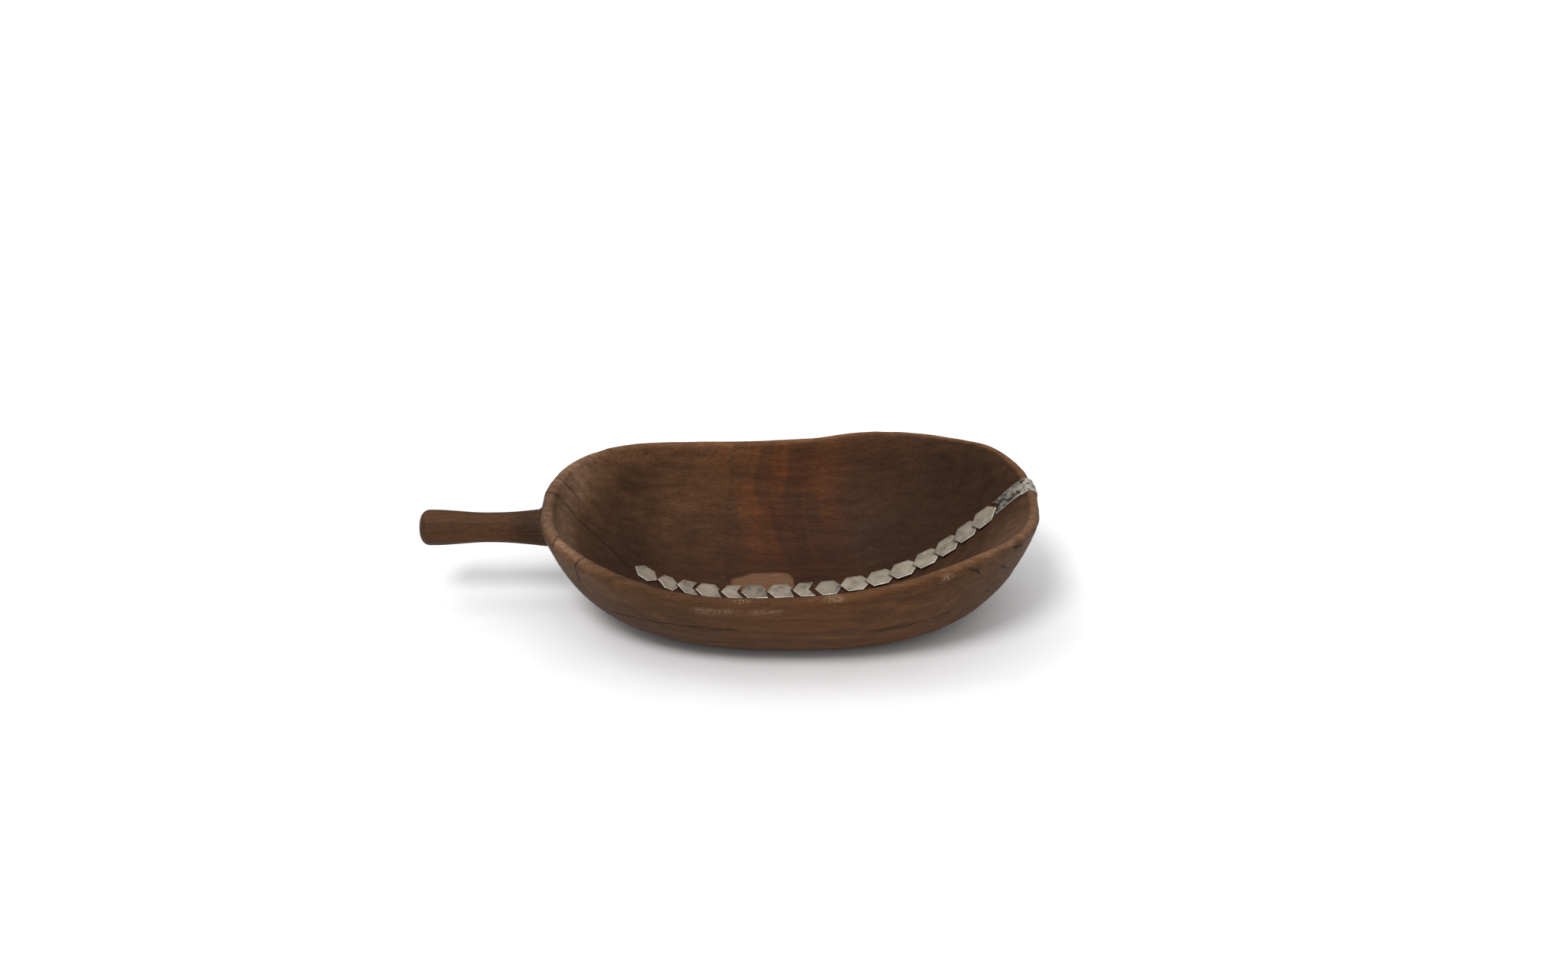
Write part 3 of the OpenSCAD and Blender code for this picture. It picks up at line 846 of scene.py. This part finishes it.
def crack_path(corners, tree):
    """Points and normals on the surface along the corners, a little ragged."""
    corners, step = np.asarray(corners, float), 1.1
    places = []
    for a, b in zip(corners[:-1], corners[1:]):
        count = max(2, int(np.linalg.norm(b - a) / step))
        places += [a + (b - a) * k / count for k in range(count)]
    places = np.array(places + [corners[-1]])
    for _ in range(3):
        places[1:-1] = (places[:-2] + 2 * places[1:-1] + places[2:]) / 4
    wander = np.cumsum(rng.normal(0, 0.16, places.shape), axis=0)
    wander -= np.linspace(0, 1, len(places))[:, None] * wander[-1]
    hits = [tree.find_nearest(Vector(p)) for p in places + wander]
    return np.array([h[0] for h in hits]), unit([h[1] for h in hits])


def crack_wedge(path, normals, width, depth):
    """A closed wedge along the path, thin at both ends."""
    along = unit(np.gradient(path, axis=0))
    side = unit(np.cross(along, normals))
    share = np.linspace(0, 1, len(path))
    swell = np.clip(np.minimum(share, 1 - share) * 7, 0.12, 1)
    swell = swell * rng.uniform(0.75, 1.15, len(path))
    half = (width * swell / 2)[:, None]
    above = 1.0
    deep = (depth * np.clip(swell, 0.3, 1))[:, None]
    top, reach = path + normals * above, side * half * (1 + above / deep)
    points = np.stack([top - reach, top + reach, path - normals * deep], 1).reshape(-1, 3)
    faces = [f[::-1] for f in tube_faces(len(path), 3)]
    last = 3 * (len(path) - 1)
    return points, faces + [[0, 1, 2], [last + 2, last + 1, last]]


def relax(mesh, chosen, rounds):
    """Smooths the chosen points, given as weights."""
    points = mesh_points(mesh)
    edges = np.empty(len(mesh.edges) * 2, int)
    mesh.edges.foreach_get("vertices", edges)
    edges = edges.reshape(-1, 2)
    edges = edges[(chosen[edges] > 0).any(1)]
    for _ in range(rounds):
        total, count = np.zeros_like(points), np.zeros(len(points))
        for i, j in ((0, 1), (1, 0)):
            np.add.at(total, edges[:, i], points[edges[:, j]])
            np.add.at(count, edges[:, i], 1)
        mean = np.where(count[:, None] > 0, total / np.maximum(count, 1)[:, None], points)
        points += (mean - points) * (0.6 * chosen)[:, None]
    set_points(mesh, points)


def blend_root(mesh):
    """Softens the line where the grip meets the wall."""
    place = mesh_points(mesh)
    from_axis = np.hypot(place[:, 1], place[:, 2] - HANDLE_HEIGHT)
    gap = np.full(len(place), 99.0)
    near = (place[:, 0] < -140) & (from_axis < 26)
    gap[near] = np.abs(near_wall_x(place[near, 1], place[near, 2]) - place[near, 0])
    ring_share = smooth(10, 13, from_axis) * (1 - smooth(19, 23, from_axis))
    relax(mesh, (1 - smooth(2.0, 5.5, gap)) * ring_share * (place[:, 0] < -150), 14)


# Pale scuffs: middle, then half length and half height, in mm
SCUFFS = (((-34, -104, 66), (12, 4)), ((-50, -101, 55), (24, 3)), ((-16, -105, 56), (14, 3)),
          ((30, -104, 67), (9, 3)), ((105, -94, 77), (6, 4)), ((-48, 18, 5), (4, 3)),
          ((-52, 12, 5), (3, 2)), ((-88, -88, 55), (2, 2)))
SCUFF_DEPTH = 6
HANDLE_FROM = -174


def lip_wear(place, kind, share):
    """How worn and how pale each point near the rim is."""
    x, y, _ = place.T
    on_handle = x < HANDLE_FROM
    inside = (kind == HOLLOW) & ~on_handle
    worn = np.where(kind == LIP, 1 - np.abs(share - 0.45) * 1.1, 0.0)
    worn = np.where(kind == OUTSIDE, 0.55 * smooth(0.90, 1.0, share), worn)
    worn = np.where(kind == HOLLOW, 0.40 * smooth(0.93, 1.0, share), worn)
    worn = worn * (1 + 0.35 * (y > 40))
    # The front-right lip is worn into a broad slope
    front_right = smooth(20, 120, x) * smooth(10, -40, y)
    near_handle = smooth(-120, -150, x)
    for part in (0.5 * front_right * smooth(0.78, 0.95, share),
                 0.75 * near_handle * smooth(0.84, 0.97, share)):
        worn = np.where(inside, np.maximum(worn, part), worn)
    worn *= 1 - 0.75 * smooth(-50, -92, y) * smooth(150, 110, np.abs(x))
    worn *= 1 - 0.40 * front_right
    worn = np.where(on_handle, 0.15 + 0.5 * smooth(-247, -256, x), worn)

    height = share + (kind == LIP)
    pale = np.where(kind == LIP, smooth(0.05, 0.5, share), np.where(kind == HOLLOW, 1.0, 0))
    pale *= np.maximum(smooth(-128, -152, x) * smooth(0.88, 0.965, height),
                       0.7 * front_right * smooth(0.76, 0.90, height))
    return np.minimum(worn, 1), np.where(on_handle, 0, pale)


def patch_share(place, kind):
    """The pale oval patch in the bottom, blunt at one end and pointed at the other."""
    x, y, z = place.T
    wobble = Ripple(9)(place)
    along = np.where(x > -6, (x + 6) / 9.5, (x + 6) / 37.0)
    oval = (np.abs(along) ** 2.3 + np.abs((y - 11) / 13.5) ** 2.1) ** 0.45 + 0.03 * wobble
    return np.where((kind == HOLLOW) & (z < 30), 1 - smooth(0.90, 1.0, oval), 0)


def scuff_share(place):
    scuff = np.zeros(len(place))
    for middle, (length, height) in SCUFFS:
        off = (place - np.array(middle)) / (length, SCUFF_DEPTH, height)
        scuff = np.maximum(scuff, 1 - smooth(0.5, 1.0, np.linalg.norm(off, axis=1)))
    return scuff


def crack_share(place, paths):
    """Dark in and just beside each crack."""
    dark, margin = np.zeros(len(place)), 4
    for path, (_, width, _) in zip(paths, CRACKS):
        close = (place > path.min(0) - margin) & (place < path.max(0) + margin)
        chosen = np.nonzero(close.all(1))[0]
        away = nearest(place[chosen], path)[1]
        dark[chosen] = np.maximum(dark[chosen], np.exp(-(away / (0.30 + width * 0.55)) ** 2))
    return dark


def build_bowl():
    rows, kinds, shares = bowl_grid()
    rows = carved(rows, kinds).reshape(-1, 3)
    points = np.concatenate([rows, [[0, 0, FOOT_DISH], [OUTLINE_SHIFT, 0, BOTTOM]]])
    faces = capped_faces(len(kinds), AROUND)
    bowl = tool("carved_bowl", [(points, faces)])
    surface = BVHTree.FromPolygons([Vector(p) for p in points], faces)

    combine(bowl, handle_object(), "UNION")
    blend_root(bowl.data)
    paths, wedges = [], []
    for corners, width, depth in CRACKS:
        path, normals = crack_path(corners, surface)
        paths.append(path)
        wedges.append(crack_wedge(path, normals, width, depth))
    combine(bowl, tool("crack_tool", wedges), "DIFFERENCE")
    slots = [fixing(i, CLEARANCE) for i in range(len(frames))]
    tangs = [slot[0] for slot in slots] + [strap_tang(CLEARANCE)]
    combine(bowl, boxes_tool("tang_tool", tangs), "DIFFERENCE")
    combine(bowl, boxes_tool("bar_tool", [slot[1] for slot in slots]), "DIFFERENCE")

    # What the material needs to know about each point
    place = mesh_points(bowl.data)
    row = nearest(place, rows)[0] // AROUND
    kind, share = kinds[row], shares[row]
    hollow = np.where(kind == HOLLOW, 1.0, np.where(kind == LIP, smooth(0.62, 1.0, share), 0))
    hollow = np.where(place[:, 0] < HANDLE_FROM, 0, hollow)
    wear, pale = lip_wear(place, kind, share)
    set_values(bowl.data, hollow=hollow, wear=wear, pale=pale, patch=patch_share(place, kind),
               scuff=scuff_share(place), crack=crack_share(place, paths))
    finish_piece(bowl, WOOD, "bowl", 42)


# ---- the plates
LONG_PLATES_FROM, LONG_TAPER = 9, 1.5
# Shares of a side or of the way to the middle, lost at each corner
CORNER_CUT, HAND_CUT = 0.007, 0.03
# The bevel round a plate: how far in, how high as a share of the metal, how bright its painted
# highlight is
BEVEL = ((0.0, 0.12, 0.3), (0.0, 0.62, 0.8), (0.05, 0.80, 1.0), (0.17, 0.95, 0.8),
         (0.34, 0.99, 0.15))
# Plates with a ragged far end, in mm, and how tarnished the plates are
RAGGED = {8: 0.45}
TARNISH = {2: 0.15, 3: 0.20, 4: 0.15, 5: 0.95, 6: 0.10, 7: 0.15, 8: 0.40, 10: 0.30, 11: 0.15}
LEAST_TARNISH = 0.05


def plate_outline(length, width, kind):
    """Corners from the tip round: a whole, a deeply notched or a slightly notched plate."""
    h = width / 2
    if kind == 1:
        return [(0, 0), (PLATE_POINT, -h), (length, -h), (length - DEEP_NOTCH, 0),
                (length, h), (PLATE_POINT, h)]
    if kind == 2:
        return [(0, 0), (PLATE_POINT, -h), (length + 0.4, -h), (length - SLIGHT_NOTCH, 0.4),
                (length, h / 3), (length - 3, h), (PLATE_POINT, h)]
    return [(0, 0), (PLATE_POINT, -h), (length - PLATE_POINT, -h), (length, 0),
            (length - PLATE_POINT, h), (PLATE_POINT, h)]


def inset(corners, amount):
    """The outline moved inwards by the amount on every side."""
    side = unit(corners - np.roll(corners, 1, 0))
    before = np.stack([-side[:, 1], side[:, 0]], -1)
    after = np.roll(before, -1, 0)
    spread = np.maximum(0.25, 1 + (before * after).sum(1))
    return corners + (before + after) * (amount / spread)[:, None]


def along_outline(corners, counts):
    """Points along the outline, the same number whatever its inset."""
    sides = zip(corners, np.roll(corners, -1, 0), counts)
    return np.concatenate([np.linspace(a + (b - a) * CORNER_CUT, b - (b - a) * CORNER_CUT, count)
                           for a, b, count in sides])


def plate_rings(i, length, width, hub):
    """Rings of points from under the plate, up its edge and in to its hub."""
    corners = np.asarray(plate_outline(length, width, ENDS[i]), float)
    if i >= LONG_PLATES_FROM:
        # The free end of the long plates tapers over a longer way
        corners[[2, 4], 0] -= LONG_TAPER
    if ENDS[i] == 0:
        # Hand-cut: each corner a little off, always inwards
        middle = corners.mean(0)
        slips = rng.uniform(0, HAND_CUT, (len(corners) - 1, 1))
        corners[1:] += (middle - corners[1:]) * slips
    sides = np.linalg.norm(np.roll(corners, -1, 0) - corners, axis=1)
    counts = [max(5, int(s / 0.7)) for s in sides]
    rough_edge, dent, wave = Ripple(3.2), Ripple(7), Ripple(16)
    loops = [along_outline(inset(corners, step), counts) for step, _, _ in BEVEL]
    heights = [level * PLATE_METAL for _, level, _ in BEVEL]
    rim = loops[-1]
    under = hub + (loops[0] - hub) * 0.97
    inner = [hub + (rim - hub) * share for share in np.linspace(0.94, 0.06, 13)]
    loops = np.array([under] + loops + inner)
    heights = np.array([0] + heights + [heights[-1]] * len(inner))
    rings = np.concatenate([loops, heights[:, None, None] + 0 * loops[..., :1]], -1)
    shine = np.array([0] + [bright for _, _, bright in BEVEL] + [0] * len(inner))

    ragged = 0.05 + RAGGED.get(i, 0) * smooth(length - 6, length, rings[..., 0])
    pull = ragged * (1 + rough_edge(rings))
    rings[..., :2] += (hub - rings[..., :2]) / length * pull[..., None]
    # A crowned, dented top
    reach = np.linalg.norm((rings[..., :2] - hub) / (length / 2, width / 2), axis=-1)
    top = rings[..., 2] > 0.9
    rings[..., 2] += np.where(top, 0.05 * (1 - np.minimum(reach, 1) ** 2), 0)
    rings[..., 2] -= np.where(top, 0.05 * (1 + dent(rings)) + 0.04 * (1 + wave(rings)), 0)
    return rings, shine


def plate_looks(i, local, length, width, hub, flat, shine):
    """Painted highlight on the edge, dirt with painted shade, and tarnish for each point, given in
    the plate's axes.
    """
    near, gap = nearest(local, flat)
    edge = np.where(gap < 0.3, shine[near], 0)
    # The painted highlight is brightest where the bevel faces the front and the rim end
    lit = np.clip(0.45 - 1.1 * local[:, 1] / width + 0.35 * (local[:, 0] / length - 0.5),
                  0.08, 1)
    share = np.linalg.norm((local[:, :2] - hub) / (length / 2, width / 2), axis=1)
    # Grime along the outline, and painted shade low on the plate's side where it meets the wood
    grime_and_shade = smooth(0.80, 1.0, share) * (1 - np.minimum(1, edge * 2)) * 0.7
    grime_and_shade = np.maximum(grime_and_shade, smooth(0.45, 0.10, local[:, 2]) * 0.8)
    if ENDS[i] == 0 and i + 1 < len(frames):
        # Painted shadow and dirt in the step round the tip of the plate that lies on this one; the
        # painted highlight is dimmed there too
        o, d, e, n = frames[i]
        o2, d2, e2, _ = frames[i + 1]
        off = o + local @ np.array([d, e, n]) - o2
        half = (width + PLATE_WIDEN) / 2
        step = (np.abs(off @ e2) * PLATE_POINT - (off @ d2) * half) / math.hypot(PLATE_POINT, half)
        grime_and_shade = np.maximum(grime_and_shade, 1.5 * smooth(1.5, 0.2, step))
        edge = edge * smooth(0.3, 1.6, step)
    tarnish = np.full(len(local), TARNISH.get(i, LEAST_TARNISH))
    if i in RAGGED:
        tarnish += 0.9 * smooth(length * 0.62, length * 0.9, local[:, 0])
    return {"edge": edge * lit, "grime_and_shade": grime_and_shade, "tarnish": np.minimum(tarnish, 1.3)}


def build_plate(i):
    o, d, e, n = frames[i]
    length, width = LENGTHS[i], plate_width(i)
    hub = np.array([length * (0.48 if ENDS[i] == 1 else 0.5), 0.0])
    rings, shine = plate_rings(i, length, width, hub)
    levels, count = rings.shape[:2]
    flat = np.concatenate([rings.reshape(-1, 3), [[*hub, 0], [*hub, rings[-1, :, 2].mean()]]])
    points = o + flat @ np.array([d, e, n])
    piece = tool("silver_plate_%02d" % (i + 1), [(points, capped_faces(levels, count))])

    tang, bar = fixing(i, 0)
    combine(piece, boxes_tool("tang_part", [tang]), "UNION")
    bar_piece = boxes_tool("bar_part", [bar])
    soften = bar_piece.modifiers.new("soften", "BEVEL")
    soften.width = 0.35 * MM
    soften.segments = 3
    combine(piece, bar_piece, "UNION")

    local = (mesh_points(piece.data) - o) @ np.array([d, e, n]).T
    shine = np.concatenate([np.repeat(shine, count), [0, 0]])
    set_values(piece.data, **plate_looks(i, local, length, width, hub, flat, shine))
    finish_piece(piece, PLATE, "plate_%02d" % (i + 1), 32)


# ---- the strap
# Stations along the strap: up the hollow to the first, over the lip, down the outside
LIP_FROM, LIP_TO, STRAP_END = 8, 18, 26


def strap_point(a, c, k):
    """The wall's surface under the strap, at station k and c from -1 to 1 across it."""
    start = STRAP_INNER + STRAP_NOTCH * (1 - np.abs(c))
    inside = inner_point(a, start + (1 - start) * np.clip(k / LIP_FROM, 0, 1))
    turned = (LIP_TO - np.clip(k, LIP_FROM, LIP_TO)) / (LIP_TO - LIP_FROM)
    over = lip_point(a, LIP_TURN * turned)
    dropped = (np.clip(k, LIP_TO, STRAP_END) - LIP_TO) / (STRAP_END - LIP_TO)
    z = outer_point(a, outer_limit(a))[..., 2] - STRAP_DROP * dropped
    outside = outer_point(a, outer_share(z / rim_z(a)))
    k = k[..., None]
    return np.where(k <= LIP_FROM, inside, np.where(k <= LIP_TO, over, outside))


def build_strap():
    stations = np.concatenate([np.linspace(0, LIP_FROM, 36), np.linspace(LIP_FROM, LIP_TO, 34)[1:],
                               np.linspace(LIP_TO, STRAP_END, 50)[1:]])
    edge_lines = [0.94, 0.975, 1]
    across = np.concatenate([[-c for c in edge_lines[::-1]], np.linspace(-0.88, 0.88, 23),
                             edge_lines])
    k, c = np.meshgrid(stations, across, indexing="ij")
    rough_edge = Ripple(6)
    pitting, wear = Ripple(4.2, count=30), Ripple(10)
    width = 1 - 0.012 * (1 + rough_edge(np.stack([k * 3, np.sign(c) * 40, 0 * k], -1)))
    a = rim_way(STRAP_OFFSET + c * width * STRAP_WIDTH / 2)
    base = strap_point(a, c, k)
    step = 0.15
    forward = (strap_point(a, c, np.minimum(STRAP_END, k + step))
               - strap_point(a, c, np.maximum(0, k - step)))
    way = lip_way(a)
    out = (forward * way).sum(-1)
    rise = -forward[..., 2]
    normal = unit(np.stack([rise * way[..., 0], rise * way[..., 1], out], -1))
    round_off = 0.30 * smooth(0.86, 1.0, np.abs(c)) ** 2
    pits = smooth(0.45, 1.05, pitting(base) * 0.8 + 0.5 * wear(base) + 0.1 * smooth(12, 2, k))
    level = SEAT_GAP + STRAP_METAL - round_off - 0.26 * pits - 0.05 * (1 + wear(base))
    top = base + normal * level[..., None]
    under = base + normal * SEAT_GAP
    rows, cols = k.shape
    count = 2 * cols
    points = np.concatenate([top, under[:, ::-1]], axis=1).reshape(-1, 3)
    faces = tube_faces(rows, count)
    last = (rows - 1) * count
    for j in range(cols - 1):
        quad = np.array([j, j + 1, count - 2 - j, count - 1 - j])
        faces += [quad.tolist(), (last + quad[::-1]).tolist()]
    piece = tool("rim_strap_silver", [(points, faces)])
    combine(piece, boxes_tool("strap_tang_part", [strap_tang(0)]), "UNION")

    near = nearest(mesh_points(piece.data), top.reshape(-1, 3))[0]
    set_values(piece.data, pit=pits.reshape(-1)[near], inner=smooth(11, 3, k.reshape(-1)[near]),
               edge=smooth(0.90, 0.99, np.abs(c.reshape(-1)[near])))
    finish_piece(piece, STRAP, "rim_strap", 38)


WOOD, PLATE, STRAP = wood_material(), plate_material(), strap_material()
build_bowl()
for index in range(len(frames)):
    build_plate(index)
build_strap()


# ---- floor, light and view
FLOOR_HALF, FLOOR_DROP = 2e4, 0.05
DARK_SKY, BRIGHT_SKY = 0.08, 1.38
CAMERA_PLACE, CAMERA_TILT = (-0.003967, -1.92863, 1.247826), 59
SENSOR, LENS = 36, 74.917


def sun(name, strength, angle, way):
    """A sun whose light travels along the way; angle in degrees sets its softness."""
    light = bpy.data.lights.new(name, "SUN")
    light.energy = strength
    light.angle = math.radians(angle)
    lamp = bpy.data.objects.new(name, light)
    bpy.context.collection.objects.link(lamp)
    lamp.rotation_euler = Vector(way).to_track_quat("-Z", "Y").to_euler()


def light_world():
    """A big soft light overhead: brightest at the top, dimmer towards the horizon."""
    n = Nodes(bpy.data.worlds.new("studio"))
    bpy.context.scene.world = n.owner
    up = n.split(n.add("ShaderNodeTexCoord", {}, "Generated"))[2]
    glow = n.add("ShaderNodeMapRange", {"Value": n.math("ABSOLUTE", up),
                                        "To Min": DARK_SKY, "To Max": BRIGHT_SKY})
    background = n.tree.nodes["Background"].inputs
    n.put(background["Strength"], glow)
    background["Color"].default_value = (1, 1, 1, 1)


floor = mesh_object("floor", [(x * FLOOR_HALF, y * FLOOR_HALF, -FLOOR_DROP)
                              for x, y in ((-1, -1), (1, -1), (1, 1), (-1, 1))], [[0, 1, 2, 3]])
floor.data.materials.append(floor_material())
sun("key", 1.55, 19, (19, 33, -60))
sun("second", 0.22, 16, (30, -9, -58.8))
light_world()
bpy.context.scene.view_settings.view_transform = "Standard"

camera_data = bpy.data.cameras.new("view")
camera_data.sensor_width = SENSOR
camera_data.lens = LENS
camera = bpy.data.objects.new("view", camera_data)
bpy.context.collection.objects.link(camera)
camera.location = CAMERA_PLACE
camera.rotation_euler = (math.radians(CAMERA_TILT), 0, 0)
bpy.context.scene.camera = camera
